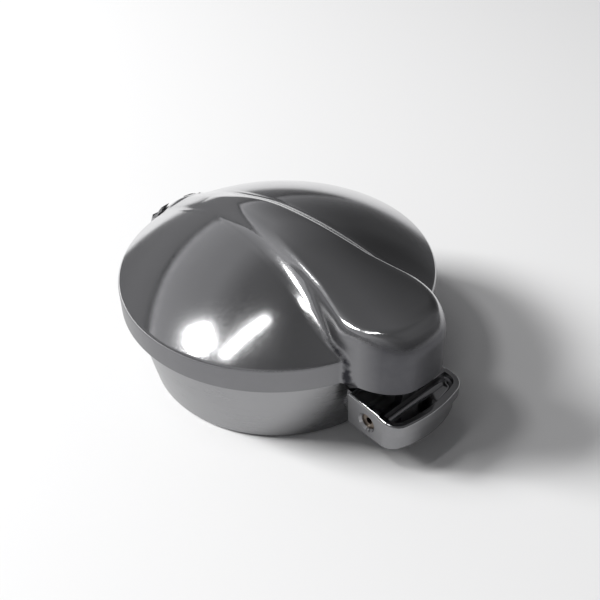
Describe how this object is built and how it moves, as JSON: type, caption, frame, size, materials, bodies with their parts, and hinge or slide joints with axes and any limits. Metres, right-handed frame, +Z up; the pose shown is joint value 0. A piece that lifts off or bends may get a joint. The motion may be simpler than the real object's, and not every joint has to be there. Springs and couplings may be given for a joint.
{
  "type": "flip-up filler cap",
  "caption": "Round hinged fuel filler cap with a domed lid, a raised spine ending in a square nose, a thumb latch under the nose and a short neck for a filler tube.",
  "frame": {"origin": "centre of the neck's foot, on the axis of the tube socket", "axes": "+Z up along the neck, +Y towards the hinge, latch at -Y, X across with the part symmetric about X = 0"},
  "size_m": [0.1, 0.1259, 0.0526],
  "materials": {
    "body_metal": "satin",
    "lid_metal": "mirror polished",
    "lever_metal": "polished top, satin sides",
    "disc_metal": "turned",
    "brass_pin": "dull",
    "brass_washer": "satin",
    "pin_steel": "ground",
    "clip_steel": "blackened",
    "spring_steel": "drawn wire",
    "catch_steel": "rolled",
    "screw_steel": "plain",
    "seal_rubber": "matt"
  },
  "bodies": {
    "body": {"filler_body": "body_metal", "lever_pin": "brass_pin", "lever_pin_grub_screw": "screw_steel", "lever_spring": "spring_steel", "hinge_pin": "pin_steel", "hinge_clip_left": "clip_steel", "hinge_clip_right": "clip_steel", "hinge_washer_left": "brass_washer", "hinge_washer_right": "brass_washer", "lid_spring": "spring_steel"},
    "lid": {"lid": "lid_metal", "lid_catch": "catch_steel", "catch_screw_left": "screw_steel", "catch_screw_right": "screw_steel", "centre_bolt": "pin_steel", "pressure_spring": "spring_steel"},
    "seal": {"seal_carrier": "disc_metal", "seal_ring": "seal_rubber", "seal_clamp_disc": "disc_metal", "seal_screw_1": "screw_steel", "seal_screw_2": "screw_steel", "seal_screw_3": "screw_steel", "seal_screw_4": "screw_steel", "seal_screw_5": "screw_steel", "seal_screw_6": "screw_steel", "spring_washer": "clip_steel"},
    "lever": {"latch_lever": "lever_metal"}
  },
  "joints": [
    {"name": "lid_hinge", "type": "hinge", "parent": "body", "child": "lid", "pos_m": [0, 0.0535, 0.0215], "axis": [-1, 0, 0], "range_deg": [0, 100], "deforming": ["lid_spring"]},
    {"name": "lever_pivot", "type": "hinge", "parent": "body", "child": "lever", "pos_m": [0, -0.054, 0.0136], "axis": [1, 0, 0], "range_deg": [0, 8], "stiffness_Nm_per_rad": 0.08, "springref_deg": -20.05, "deforming": ["lever_spring"]},
    {"name": "seal_slide", "type": "slide", "parent": "lid", "child": "seal", "axis": [0, 0, 1], "range_m": [0, 0.001], "stiffness_N_per_m": 4000, "springref_m": -0.002, "deforming": ["pressure_spring"]}
  ]
}
